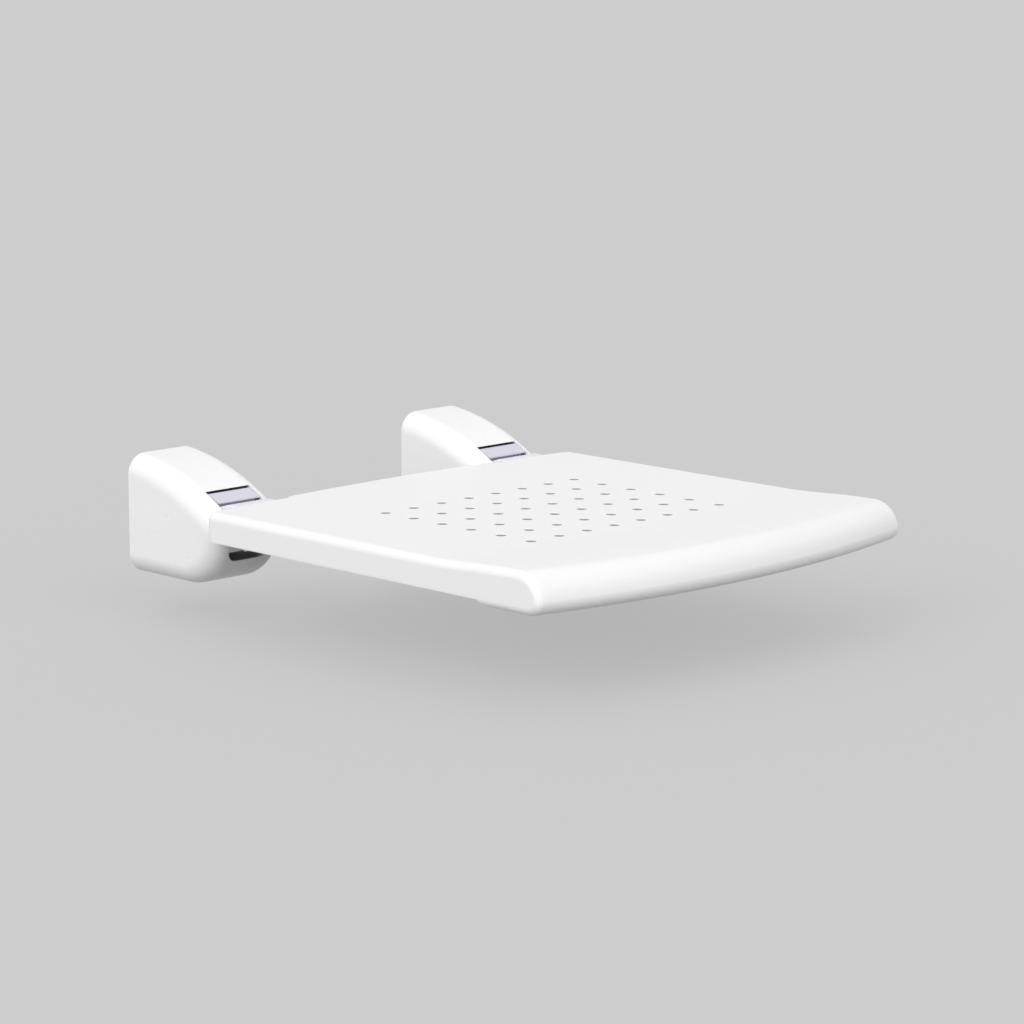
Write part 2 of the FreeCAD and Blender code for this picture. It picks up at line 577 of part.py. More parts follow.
def wall_plate(side, across):
    """The back plate with its two cheeks, the floor between them and the lug for the cover's screws."""
    body = new_body(f"wall_plate_{side}", across=across)
    drawn = new_sketch(body, "PlateOutline", "XZ_Plane", "gasket_wall")
    plate_outline(drawn)
    feature(body, "Pad", "BackPlate", drawn, "plate_wall")
    root = "-(gasket_wall + plate_wall / 2)"
    cheek = new_sketch(body, "CheekSide", "YZ_Plane")
    outline(cheek, [
        (root, "cheek_root"),
        ("-pivot_out", f"{HINGE_HEIGHT} + cheek_radius", "cheek_radius"),
        ("-(pivot_out + cheek_radius)", HINGE_HEIGHT),
        ("-cheek_out", "-cheek_shoulder"),
        ("-shelf_out", "-shelf_foot"),
        ("-shelf_bend", "-shelf_foot"),
        (root, "-shelf_root"),
    ])
    feature(body, "Pad", "Cheeks", cheek, CHEEKS, symmetric=True)
    lug = new_sketch(body, "LugPlan", "XY_Plane", "-(cover_foot - cover_wall)")
    reach = "(cover_screw_across / 2 + cover_screw_radius + lug_wall)"
    rectangle(lug, f"-{reach}", reach, "-(cover_screw_out + cover_screw_radius + lug_wall)", root)
    feature(body, "Pad", "Lug", lug, "lug_height")
    channel = new_sketch(body, "ChannelSide", "YZ_Plane")
    outline(channel, [
        (f"-{PLATE_FACE}", "-(shelf_root - shelf_wall)"),
        (f"-{PLATE_FACE}", "2 * cheek_root"),
        ("-2 * shelf_out", "2 * cheek_root"),
        ("-2 * shelf_out", "-(shelf_foot - shelf_wall)"),
        ("-shelf_bend", "-(shelf_foot - shelf_wall)"),
    ])
    feature(body, "Pocket", "Channel", channel, "cheek_gap", symmetric=True)
    ledge = new_sketch(body, "LedgePlan", "XY_Plane", "-shelf_foot")
    rectangle(ledge, "-ledge_width / 2", "ledge_width / 2", "-ledge_out", "-shelf_bend")
    feature(body, "Pad", "Ledge", ledge, "shelf_wall")
    bore = new_sketch(body, "PinBore", "YZ_Plane")
    ring(bore, "-pivot_out", HINGE_HEIGHT, "pin_radius + running_gap")
    feature(body, "Pocket", "PinBoreCut", bore, f"2 * {CHEEKS}", symmetric=True)
    stop = new_sketch(body, "StopBore", "XY_Plane", "-shelf_foot")
    ring(stop, "0", "-stop_out", "stop_radius + running_gap")
    feature(body, "Pocket", "StopBoreCut", stop, "2 * shelf_wall", reverse=True)
    threads = new_sketch(body, "LugBores", "XY_Plane", "-(cover_foot - cover_wall)")
    for sign in SIGNS:
        ring(threads, f"{sign}cover_screw_across / 2", "-cover_screw_out", "cover_screw_radius + running_gap")
    feature(body, "Pocket", "LugBoreCut", threads, "cover_screw_shank", reverse=True)


def cover(side, across):
    """The moulded cover: a side outline of three smooth arcs, rounded along both sides and hollowed."""
    body = new_body(f"cover_{side}", across=across)
    fall = "(cover_top - brow_rise)"
    slope = f"(atan({fall} / brow_out) + asin(sqrt({fall} ^ 2 + brow_out ^ 2) / 2 / crest_radius))"
    brow = f"((cover_reach - brow_out) / (1 - sin({slope})))"
    nose = f"(brow_rise - {brow} * cos({slope}))"
    chin = f"(cover_foot + {nose})"
    profile = new_sketch(body, "CoverSide", "YZ_Plane")
    outline(profile, [
        ("0", "cover_top", "crest_radius"),
        ("-brow_out", "brow_rise", brow),
        ("-cover_reach", nose, chin),
        (f"-(cover_reach - {chin})", "-cover_foot"),
        ("0", "-cover_foot"),
    ])
    block = feature(body, "Pad", "CoverBlock", profile, "cover_width", symmetric=True)
    half, top, foot = number("cover_width / 2"), number("cover_top"), number("-cover_foot")
    rounded = fillet(body, "CoverRounds", block, "cover_round",
                     lambda p: abs(abs(p.x) - half) < 0.01
                     and (p.y < -0.01 or abs(p.z - top) < 0.01 or abs(p.z - foot) < 0.01))
    doc.recompute()
    back = next(f"Face{i}" for i, face in enumerate(rounded.Shape.Faces, 1)
                if face.optimalBoundingBox().YLength < 0.01)
    shell = body.newObject("PartDesign::Thickness", "CoverShell")
    shell.Base = (rounded, [back])
    bind(shell, "Value", "cover_wall")
    shell.Mode = "Skin"
    shell.Join = "Arc"
    shell.Reversed = True
    window = new_sketch(body, "WindowOutline", "XZ_Plane", "brow_out / 2")
    edge = "window_width / 2"
    outline(window, [
        (f"-({edge} - window_round)", "-window_foot"),
        (f"{edge} - window_round", "-window_foot", "window_round"),
        (edge, "-(window_foot - window_round)"),
        (edge, "window_top"),
        (f"-{edge}", "window_top"),
        (f"-{edge}", "-(window_foot - window_round)", "window_round"),
    ])
    feature(body, "Pocket", "Window", window, "cover_reach", reverse=True)
    holes = new_sketch(body, "SoleHoles", "XY_Plane", "-cover_foot")
    for sign in SIGNS:
        ring(holes, f"{sign}cover_screw_across / 2", "-cover_screw_out", "cover_screw_radius + cap_gap")
    feature(body, "Pocket", "SoleHoleCut", holes, "2 * cover_wall", reverse=True)


def socket(body, name, lift, across, depth):
    """A hexagon socket that opens downward at the body's own axis."""
    drawn = new_sketch(body, name, "XY_Plane", lift)
    hexagon(drawn, "0", "0", across)
    return feature(body, "Pocket", name + "Cut", drawn, depth, reverse=True)


def cover_screws(side, across):
    body = new_body(f"cover_screws_{side}", "cover_screw_out", "-cover_foot", f"{across} - cover_screw_across / 2")
    screw = turned(body, "CoverScrew", "Z", [
        ("-cover_screw_head", "0"), ("-cover_screw_head", "cover_screw_head_radius - cap_gap"),
        ("0", "cover_screw_head_radius"), ("0", "cover_screw_radius"),
        ("cover_screw_shank", "cover_screw_radius"), ("cover_screw_shank", "0"),
    ])
    recess = socket(body, "CoverScrewSocket", "-cover_screw_head", "cover_screw_radius", "cover_screw_head")
    grid(body, "CoverScrewPair", [screw, recess], [("X_Axis", 2, "cover_screw_across")])


def hinge_pin(side, across, sign):
    """The pin, with its head outside one cheek and a groove for its ring outside the other."""
    body = new_body(f"hinge_pin_{side}", "pivot_out", HINGE_HEIGHT, across)
    groove = f"({CHEEKS} / 2 + running_gap)"
    turned(body, "HingePin", "X", [(f"{sign}({along})", radius) for along, radius in [
        (f"{CHEEKS} / 2 + running_gap + pin_head", "0"),
        (f"{CHEEKS} / 2 + running_gap + pin_head", "pin_head_radius - ring_depth"),
        (f"{CHEEKS} / 2 + running_gap + pin_head - ring_depth", "pin_head_radius"),
        (groove, "pin_head_radius"),
        (groove, "pin_radius"),
        (f"-{groove}", "pin_radius"),
        (f"-{groove}", "pin_radius - ring_depth"),
        (f"-({groove} + ring_wall + running_gap)", "pin_radius - ring_depth"),
        (f"-({groove} + ring_wall + running_gap)", "pin_radius"),
        (f"-({groove} + 2 * ring_wall)", "pin_radius"),
        (f"-({groove} + 2 * ring_wall + ring_depth)", "pin_radius - ring_depth"),
        (f"-({groove} + 2 * ring_wall + ring_depth)", "0"),
    ]])


def pin_ring(side, across, sign):
    body = new_body(f"pin_ring_{side}", "pivot_out", HINGE_HEIGHT, across)
    near, far = f"{CHEEKS} / 2 + running_gap", f"{CHEEKS} / 2 + running_gap + ring_wall"
    inner = "pin_radius - ring_depth + running_gap"
    turned(body, "Ring", "X", [(f"{sign}(-1 * ({along}))", radius) for along, radius in [
        (near, inner), (near, "pin_head_radius"), (far, "pin_head_radius"), (far, inner)]])
    mouth = new_sketch(body, "RingMouth", "YZ_Plane")
    rectangle(mouth, "-(pin_radius - ring_depth) / 2", "(pin_radius - ring_depth) / 2",
              "-2 * pin_head_radius", "0")
    feature(body, "Pocket", "RingMouthCut", mouth, f"2 * {CHEEKS}", symmetric=True)


def friction_washers(side, across):
    body = new_body(f"friction_washers_{side}", "pivot_out", HINGE_HEIGHT, across)
    near, far = "knuckle_width / 2 + bush_flange + play", "cheek_gap / 2"
    inner = "pin_radius + running_gap"
    washer = turned(body, "Washer", "X", [
        (near, inner), (near, "flange_radius"), (far, "flange_radius"), (far, inner)])
    mirrored(body, "Washers", [washer])


def stop_screw(side, across):
    """The adjustable stop under the arm, from its tail below the floor to its head."""
    body = new_body(f"stop_screw_{side}", "stop_out", "-shelf_foot", across)
    shank = new_sketch(body, "StopShank", "XY_Plane", "-stop_tail")
    ring(shank, "0", "0", "stop_radius")
    head_foot = f"({LAND_FOOT} - play - pad_top - stop_head_height + shelf_foot)"
    feature(body, "Pad", "StopShankPad", shank, f"{head_foot} + stop_tail")
    head = new_sketch(body, "StopHead", "XY_Plane", head_foot)
    hexagon(head, "0", "0", "stop_head")
    feature(body, "Pad", "StopHeadPad", head, "stop_head_height")
    socket(body, "StopSocket", "-stop_tail", "stop_radius", "stop_radius")


def stop_nut(side, across):
    body = new_body(f"stop_nut_{side}", "stop_out", "-(shelf_foot - shelf_wall)", across)
    drawn = new_sketch(body, "NutOutline", "XY_Plane")
    hexagon(drawn, "0", "0", "stop_head")
    ring(drawn, "0", "0", "stop_radius + running_gap")
    feature(body, "Pad", "Nut", drawn, "stop_head_height")


def stop_pad(side, across):
    """The rubber cap over the stop screw's head, which the arm comes down on."""
    body = new_body(f"stop_pad_{side}", "stop_out", f"{LAND_FOOT} - play", across)
    inner = "(stop_head / 2 / cos(30) + running_gap)"
    turned(body, "StopCap", "Z", [
        ("0", "0"), ("0", f"{inner}"), ("-pad_wall", f"{inner} + pad_wall"),
        ("-(pad_top + stop_head_height)", f"{inner} + pad_wall"),
        ("-(pad_top + stop_head_height)", inner), ("-pad_top", inner), ("-pad_top", "0"),
    ])


# The arms and what they carry.

ARM_TOP = "(seat_height - seat_wall)"
ARM_FOOT = f"({ARM_TOP} - arm_depth)"
CAP_FOOT = f"({ARM_TOP} - cap_skirt)"
LAST_SCREW = "(screw_first + 3 * screw_pitch)"
SCREW_SEAT = f"({ARM_TOP} - boss_depth - play - screw_web)"


def pivot_bushes(side, across):
    body = new_body(f"pivot_bushes_{side}", "pivot_out", HINGE_HEIGHT, across)
    inner, outer = "pin_radius + running_gap", "pin_radius + bush_wall"
    face = "knuckle_width / 2"
    bush = turned(body, "Bush", "X", [
        (f"{face} - bush_length", inner), (f"{face} - bush_length", outer), (face, outer),
        (face, "flange_radius"), (f"{face} + bush_flange", "flange_radius"), (f"{face} + bush_flange", inner)])
    mirrored(body, "Bushes", [bush])


def hinge_arm(side, across):
    """The arm: a knuckle with a sloping roof that fills the cover's window, and a beam under the seat."""
    body = new_body(f"hinge_arm_{side}", across=across)
    knuckle = new_sketch(body, "KnuckleSide", "YZ_Plane")
    outline(knuckle, [
        ("-shroud_out", "seat_height + shroud_rise"),
        ("-shroud_front", "seat_height + shroud_eave"),
        ("-shroud_front", "seat_height + shroud_eave - shroud_wall"),
        ("-slot_out", "seat_height + slot_rise"),
        ("-slot_out", CAP_FOOT),
        ("-land_end", CAP_FOOT),
        ("-land_end", LAND_FOOT),
        ("-pivot_out", LAND_FOOT, "-knuckle_radius"),
        ("-(pivot_out - knuckle_radius)", HINGE_HEIGHT),
    ])
    feature(body, "Pad", "Knuckle", knuckle, "knuckle_width", symmetric=True)
    beam = new_sketch(body, "BeamSide", "YZ_Plane")
    rectangle(beam, "-arm_end", "-pivot_out", ARM_FOOT, ARM_TOP)
    feature(body, "Pad", "Beam", beam, "arm_width", symmetric=True)
    bore = new_sketch(body, "BushBore", "YZ_Plane")
    ring(bore, "-pivot_out", HINGE_HEIGHT, "pin_radius + bush_wall + running_gap")
    feature(body, "Pocket", "BushBoreCut", bore, "2 * knuckle_width", symmetric=True)
    tubes = new_sketch(body, "TubeBores", "YZ_Plane")
    for place in ("rear_tube_out", "front_tube_out"):
        ring(tubes, f"-{place}", "seat_height - tube_below", "tube_radius + running_gap")
    feature(body, "Pocket", "TubeBoreCut", tubes, "2 * arm_width", symmetric=True)
    pins = new_sketch(body, "PinHoles", "XY_Plane", ARM_FOOT)
    for place in ("rear_tube_out", "front_tube_out"):
        ring(pins, "0", f"-{place}", "roll_pin_radius + running_gap")
    feature(body, "Pocket", "PinHoleCut", pins, "arm_depth - 2 * roll_pin_radius", reverse=True)
    peg = new_sketch(body, "PegHole", "XY_Plane", ARM_TOP)
    ring(peg, "0", "-(cap_start + notch_out) / 2", "peg_radius + running_gap")
    feature(body, "Pocket", "PegHoleCut", peg, "peg_length + play")
    under = new_sketch(body, "ArmPockets", "XY_Plane", ARM_FOOT)
    for start, end in (
            ("screw_first", "rear_tube_out"), ("rear_tube_out", "(screw_first + screw_pitch)"),
            ("(screw_first + screw_pitch)", "(screw_first + 2 * screw_pitch)"),
            ("(screw_first + 2 * screw_pitch)", LAST_SCREW)):
        rectangle(under, "-(arm_width / 2 - pocket_side)", "arm_width / 2 - pocket_side",
                  f"-({end} - pocket_clear)", f"-({start} + pocket_clear)")
    feature(body, "Pocket", "ArmPocketCut", under, "arm_depth - arm_web", reverse=True)
    nest = new_sketch(body, "BossNest", "XY_Plane", ARM_TOP)
    ring(nest, "0", f"-{LAST_SCREW}", "boss_radius + cap_gap")
    nest_cut = feature(body, "Pocket", "BossNestCut", nest, "boss_depth + play")
    way = new_sketch(body, "ScrewWay", "XY_Plane", ARM_TOP)
    ring(way, "0", f"-{LAST_SCREW}", "screw_radius + play")
    way_cut = feature(body, "Pocket", "ScrewWayCut", way, "2 * arm_depth")
    sink = new_sketch(body, "HeadSink", "XY_Plane", SCREW_SEAT)
    ring(sink, "0", f"-{LAST_SCREW}", "screw_head_radius + play")
    sink_cut = feature(body, "Pocket", "HeadSinkCut", sink, "arm_depth")
    grid(body, "ScrewPlaces", [nest_cut, way_cut, sink_cut], [("Y_Axis", 4, "screw_pitch")])


def arm_cap(side, across):
    """The cap over the arm in the seat's notch, level with the seat's top and ramped down at its back."""
    body = new_body(f"arm_cap_{side}", across=across)
    section = new_sketch(body, "CapSection", "XZ_Plane", "cap_start")
    inner = "(arm_width / 2 + cap_gap)"
    outline(section, [
        ("-cap_width / 2", CAP_FOOT), (f"-{inner}", CAP_FOOT), (f"-{inner}", ARM_TOP), (inner, ARM_TOP),
        (inner, CAP_FOOT), ("cap_width / 2", CAP_FOOT), ("cap_width / 2", "seat_height - cap_round", "cap_round"),
        ("cap_width / 2 - cap_round", "seat_height"),
        ("-(cap_width / 2 - cap_round)", "seat_height", "cap_round"),
        ("-cap_width / 2", "seat_height - cap_round"),
    ])
    feature(body, "Pad", "Cap", section, "notch_out - cap_gap - cap_start")
    peg = new_sketch(body, "CapPeg", "XY_Plane", ARM_TOP)
    ring(peg, "0", "-(cap_start + notch_out) / 2", "peg_radius")
    feature(body, "Pad", "CapPegPad", peg, "peg_length", reverse=True)
    ramp = new_sketch(body, "CapRamp", "YZ_Plane")
    outline(ramp, [
        ("-cap_start", "seat_height - cap_dip"), ("-cap_start", "2 * seat_height"),
        ("-(cap_start + cap_ramp)", "2 * seat_height"), ("-(cap_start + cap_ramp)", "seat_height"),
    ])
    feature(body, "Pocket", "CapRampCut", ramp, "2 * cap_width", symmetric=True)


def arm_screws(side, across):
    body = new_body(f"arm_screws_{side}", LAST_SCREW, SCREW_SEAT, across)
    screw = turned(body, "ArmScrew", "Z", [
        ("-screw_head", "0"), ("-screw_head", "screw_head_radius - cap_gap"), ("0", "screw_head_radius"),
        ("0", "screw_radius"), ("screw_shank", "screw_radius"), ("screw_shank", "0"),
    ])
    recess = socket(body, "ArmScrewSocket", "-screw_head", "screw_socket", "screw_head - cap_gap")
    grid(body, "ArmScrews", [screw, recess], [("Y_Axis", 4, "screw_pitch")])


TUBE_HALF = "(bracket_spacing / 2 + arm_width / 2 + tube_past)"
BETWEEN_TUBES = "(front_tube_out - rear_tube_out)"


def cross_tube(name, out):
    body = new_body(name, out, "seat_height - tube_below")
    inner = "tube_radius - tube_wall"
    turned(body, "Tube", "X", [
        (f"-{TUBE_HALF}", inner), (TUBE_HALF, inner), (TUBE_HALF, "tube_radius"), (f"-{TUBE_HALF}", "tube_radius")])
    pins = new_sketch(body, "TubePinHoles", "XY_Plane")
    for sign in SIGNS:
        ring(pins, f"{sign}bracket_spacing / 2", "0", "roll_pin_radius + running_gap")
    feature(body, "Pocket", "TubePinHoleCut", pins, "4 * tube_radius", symmetric=True)


def tube_plugs():
    body = new_body("tube_plugs", "front_tube_out", "seat_height - tube_below")
    stem = "tube_radius - tube_wall - running_gap"
    plug = turned(body, "Plug", "X", [
        (f"{TUBE_HALF} - plug_length", "0"), (f"{TUBE_HALF} - plug_length", stem), (TUBE_HALF, stem),
        (TUBE_HALF, "tube_radius"), (f"{TUBE_HALF} + plug_flange", "tube_radius - tube_wall"),
        (f"{TUBE_HALF} + plug_flange", "0"),
    ])
    far = turned(body, "FarPlug", "X", [
        (f"-({TUBE_HALF} - plug_length)", "0"), (f"-({TUBE_HALF} - plug_length)", stem), (f"-{TUBE_HALF}", stem),
        (f"-{TUBE_HALF}", "tube_radius"), (f"-({TUBE_HALF} + plug_flange)", "tube_radius - tube_wall"),
        (f"-({TUBE_HALF} + plug_flange)", "0"),
    ])
    grid(body, "Plugs", [plug, far], [("Y_Axis", 2, BETWEEN_TUBES)])


def tube_pins():
    body = new_body("tube_pins", "front_tube_out", ARM_FOOT)
    drawn = new_sketch(body, "RollPins", "XY_Plane")
    for sign in SIGNS:
        ring(drawn, f"{sign}bracket_spacing / 2", "0", "roll_pin_radius")
    pins = feature(body, "Pad", "RollPinPad", drawn, "arm_depth - 2 * roll_pin_radius - play")
    grid(body, "AllRollPins", [pins], [("Y_Axis", 2, BETWEEN_TUBES)])


for side, across in SIDES.items():
    sign = "-1 * " if side == "left" else ""
    wall_gasket(side, across)
    wall_plate(side, across)
    cover(side, across)
    cover_screws(side, across)
    hinge_pin(side, across, sign)
    pin_ring(side, across, sign)
    friction_washers(side, across)
    stop_screw(side, across)
    stop_nut(side, across)
    stop_pad(side, across)
    pivot_bushes(side, across)
    hinge_arm(side, across)
    arm_cap(side, across)
    arm_screws(side, across)
seat_shell()
cross_tube("rear_tube", "rear_tube_out")
cross_tube("front_tube", "front_tube_out")
tube_plugs()
tube_pins()
doc.recompute()

# Nothing is written unless every object is sound.
for thing in doc.Objects:
    if "Invalid" in thing.State or "Error" in thing.State:
        raise RuntimeError(f"{thing.Name} is not sound: {thing.State}")
bodies = doc.findObjects("PartDesign::Body")
for body in bodies:
    if body.Shape.isNull() or not body.Shape.isValid() or body.Shape.Volume <= 0:
        raise RuntimeError(f"{body.Label} has no valid shape")

os.makedirs("parts", exist_ok=True)
for body in bodies:
    body.Shape.exportStep(f"parts/{body.Label}.step")
    print(body.Label, len(body.Shape.Solids), "solids")
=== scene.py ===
# %% [markdown]
# A fold down wall seat: a perforated white seat on two arms that swing up out of two wall brackets
# with rounded covers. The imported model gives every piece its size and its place. This script
# dresses the pieces: it closes and softens their meshes, makes the small repeated fittings, gives
# each piece its finish, and sets the studio and the camera.

# %% Load the frame
import math

import bmesh
import bpy
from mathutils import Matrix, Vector


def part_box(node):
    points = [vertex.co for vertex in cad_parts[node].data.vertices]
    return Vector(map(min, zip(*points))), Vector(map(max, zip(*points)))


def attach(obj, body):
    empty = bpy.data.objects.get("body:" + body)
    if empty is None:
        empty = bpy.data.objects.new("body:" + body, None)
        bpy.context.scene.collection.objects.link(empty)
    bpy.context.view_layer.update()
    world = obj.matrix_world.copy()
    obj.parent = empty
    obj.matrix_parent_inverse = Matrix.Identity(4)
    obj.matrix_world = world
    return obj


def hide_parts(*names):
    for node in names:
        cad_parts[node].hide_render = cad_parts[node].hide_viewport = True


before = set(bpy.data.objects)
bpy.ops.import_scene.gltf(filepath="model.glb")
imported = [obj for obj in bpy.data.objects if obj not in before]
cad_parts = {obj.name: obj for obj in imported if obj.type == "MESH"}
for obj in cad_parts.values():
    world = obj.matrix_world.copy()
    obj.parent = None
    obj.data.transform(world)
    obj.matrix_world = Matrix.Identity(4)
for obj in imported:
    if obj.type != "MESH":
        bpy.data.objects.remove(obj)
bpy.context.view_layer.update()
scene = bpy.context.scene
SIDES = ("left", "right")
MM = 0.001
print("pieces in the frame:", len(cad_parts))

# %% [markdown]
# Everything that is made below becomes an object in the scene, and every piece is handed over as a
# plain mesh. Modifiers and node trees are handy while a shape is made, since their numbers can
# still change, so a second helper works them out and keeps only the result.

# %% New objects and plain meshes


def linked(name, data):
    """A new object that is in the scene."""
    piece = bpy.data.objects.new(name, data)
    scene.collection.objects.link(piece)
    return piece


def plain_mesh(piece):
    """Turns an object with modifiers into a plain mesh."""
    graph = bpy.context.evaluated_depsgraph_get()
    mesh = bpy.data.meshes.new_from_object(piece.evaluated_get(graph), depsgraph=graph)
    piece.modifiers.clear()
    piece.data = mesh
    return piece


# %% [markdown]
# A mesh from a CAD solid is a heap of loose triangles. Welding its corners makes it one closed
# surface, and triangles that lie in one plane are merged into one face. The large flat faces should
# look flat and the roundings smooth, so edges that turn sharply are marked sharp, a narrow bevel
# softens them as moulding or tumbling does, and weighted normals let the large faces decide the
# shading.

# %% Weld, soften and shade a CAD piece
WELD = 0.002 * MM
FLAT = math.radians(0.4)
SHARP = math.radians(28)
BEVEL_STEPS = 2


def closed_mesh(node):
    """A welded copy of a CAD piece's mesh, with its sharp edges marked."""
    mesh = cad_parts[node].data.copy()
    mesh.name = node + "_dressed"
    shape = bmesh.new()
    shape.from_mesh(mesh)
    bmesh.ops.remove_doubles(shape, verts=shape.verts, dist=WELD)
    bmesh.ops.dissolve_limit(shape, angle_limit=FLAT, verts=shape.verts, edges=shape.edges,
                             use_dissolve_boundaries=False)
    for face in shape.faces:
        face.smooth = True
    for edge in shape.edges:
        edge.smooth = not (edge.is_manifold and edge.calc_face_angle(0) > SHARP)
    shape.to_mesh(mesh)
    shape.free()
    mesh.materials.clear()
    return mesh


def dressed(node, soft):
    """A CAD piece with edges softened by so many millimetres."""
    piece = linked(node + "_dressed", closed_mesh(node))
    if soft:
        bevel = piece.modifiers.new("Soft edges", "BEVEL")
        bevel.width = soft * MM
        bevel.segments = BEVEL_STEPS
        bevel.limit_method = "ANGLE"
        bevel.angle_limit = SHARP
    normals = piece.modifiers.new("Weighted normals", "WEIGHTED_NORMAL")
    normals.keep_sharp = True
    return plain_mesh(piece)


print("edges are sharp above", round(math.degrees(SHARP)), "degrees")

# %% [markdown]
# The seat folds, so each piece has to move with the right body: the brackets stay on the wall, and
# the seat, its arms and all that is fixed to them swing. A finished piece therefore gets its
# material and the body it rides on, and the CAD piece it stands for is hidden.

# %% Hand a finished piece over


def place(piece, body, material, slot, *nodes):
    """Gives a piece its material, the body it moves with and the CAD pieces it stands for."""
    piece.data.materials.clear()
    piece.data.materials.append(material)
    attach(piece, body)
    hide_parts(*nodes)
    print(piece.name, len(piece.data.polygons), "faces, rides on", body)


# %% [markdown]
# Moulded plastic is never one flat colour. Its gloss wanders a little, and spark-eroded tools leave
# a fine grain. One helper makes that for every finish here: a noise on Object coordinates drives a
# narrow range of colour and of roughness, and a finer one drives the bump. Stretching the noise
# along one axis turns the same recipe into brushed metal.

# %% Small node helpers
WANDER_DETAIL = 3
GRAIN_DETAIL = 2
WANDER_RANGE = (0.15, 0.85)
BUMP_STRENGTH = 0.6


def noise(tree, mapping, size, detail):
    """A noise with patches of so many millimetres."""
    pattern = tree.nodes.new("ShaderNodeTexNoise")
    pattern.inputs["Scale"].default_value = 1 / (size * MM)
    pattern.inputs["Detail"].default_value = detail
    tree.links.new(mapping.outputs["Vector"], pattern.inputs["Vector"])
    return pattern.outputs["Fac"]


def remap(tree, value, source, target):
    """Moves a value from one range into another."""
    ramp = tree.nodes.new("ShaderNodeMapRange")
    for end, number in zip(("From Min", "From Max", "To Min", "To Max"), (*source, *target)):
        ramp.inputs[end].default_value = number
    tree.links.new(value, ramp.inputs["Value"])
    return ramp.outputs["Result"]


def colour_mix(tree, factor):
    """A node that mixes its colours A and B by a factor."""
    blend = tree.nodes.new("ShaderNodeMix")
    blend.data_type = "RGBA"
    tree.links.new(factor, blend.inputs["Factor"])
    return blend


print("most noise lies between", *WANDER_RANGE)

# %% A finish with grain


def finish(name, colour, shade, *, roughness, spread, patch, grain, depth, stretch=(1, 1, 1),
           metallic=0.0, coat=0.0, **sockets):
    """A material whose colour wanders toward a shade and whose roughness wanders by a spread.
    Patch and grain are the sizes of the two noises, and depth is the bump's, in millimetres."""
    material = bpy.data.materials.new(name)
    material.use_nodes = True
    tree = material.node_tree
    shader = tree.nodes["Principled BSDF"]
    shader.inputs["Metallic"].default_value = metallic
    shader.inputs["Coat Weight"].default_value = coat
    for socket, value in sockets.items():
        shader.inputs[socket.replace("_", " ")].default_value = value
    place_of = tree.nodes.new("ShaderNodeTexCoord")
    mapping = tree.nodes.new("ShaderNodeMapping")
    mapping.inputs["Scale"].default_value = stretch
    tree.links.new(place_of.outputs["Object"], mapping.inputs["Vector"])

    wander = noise(tree, mapping, patch, WANDER_DETAIL)
    blend = colour_mix(tree, wander)
    blend.inputs["A"].default_value = (*colour, 1)
    blend.inputs["B"].default_value = (*shade, 1)
    tree.links.new(blend.outputs["Result"], shader.inputs["Base Color"])
    gloss = remap(tree, wander, WANDER_RANGE, (roughness - spread, roughness + spread))
    tree.links.new(gloss, shader.inputs["Roughness"])

    bump = tree.nodes.new("ShaderNodeBump")
    bump.inputs["Strength"].default_value = BUMP_STRENGTH
    bump.inputs["Distance"].default_value = depth * MM
    tree.links.new(noise(tree, mapping, grain, GRAIN_DETAIL), bump.inputs["Height"])
    tree.links.new(bump.outputs["Normal"], shader.inputs["Normal"])
    print("finish:", name)
    return material


# %% [markdown]
# The seat and the covers are the same white thermoplastic. The seat's top has a slightly deeper
# grain for grip, and the covers are a little glossier.

# %% White mouldings
SEAT_WHITE = finish("MouldedWhite", (0.90, 0.90, 0.905), (0.88, 0.88, 0.888),
                    roughness=0.34, spread=0.04, patch=45, grain=0.9, depth=0.012)
COVER_WHITE = finish("CoverWhite", (0.905, 0.905, 0.91), (0.885, 0.885, 0.892),
                     roughness=0.28, spread=0.04, patch=38, grain=1.1, depth=0.006,
                     coat=0.15, Coat_Roughness=0.2)

# %% [markdown]
# In the photograph the drain holes read as grey spots. The scene's soft light reaches into such
# shallow holes from all sides and leaves them pale, so here a darker colour on the walls stands in
# for that shade. Inside the field of holes, nothing but those walls lies between the two faces of
# the top, so a band of heights picks them out without a new mesh.

# %% Painted shade in the drain holes
SEAT_TOP = 16.0
SEAT_WALL = 4.0
# Painted shade: the drain-hole walls get this darker grey in place of the shade the light leaves
# out.
HOLE_SHADE_GREY = (0.40, 0.40, 0.41)
# For each axis, in millimetres: where the painted shade on the hole walls begins and ends, each
# with half the width of the change there. In height it stops short of the top's two faces, so that
# the rims stay white.
SHADED_HOLE_WALLS = {
    "X": ((-125, 1), (125, 1)),
    "Y": ((-412, 1), (-218, 1)),
    "Z": ((SEAT_TOP - SEAT_WALL + 0.2, 0.1), (SEAT_TOP - 0.35, 0.2)),
}


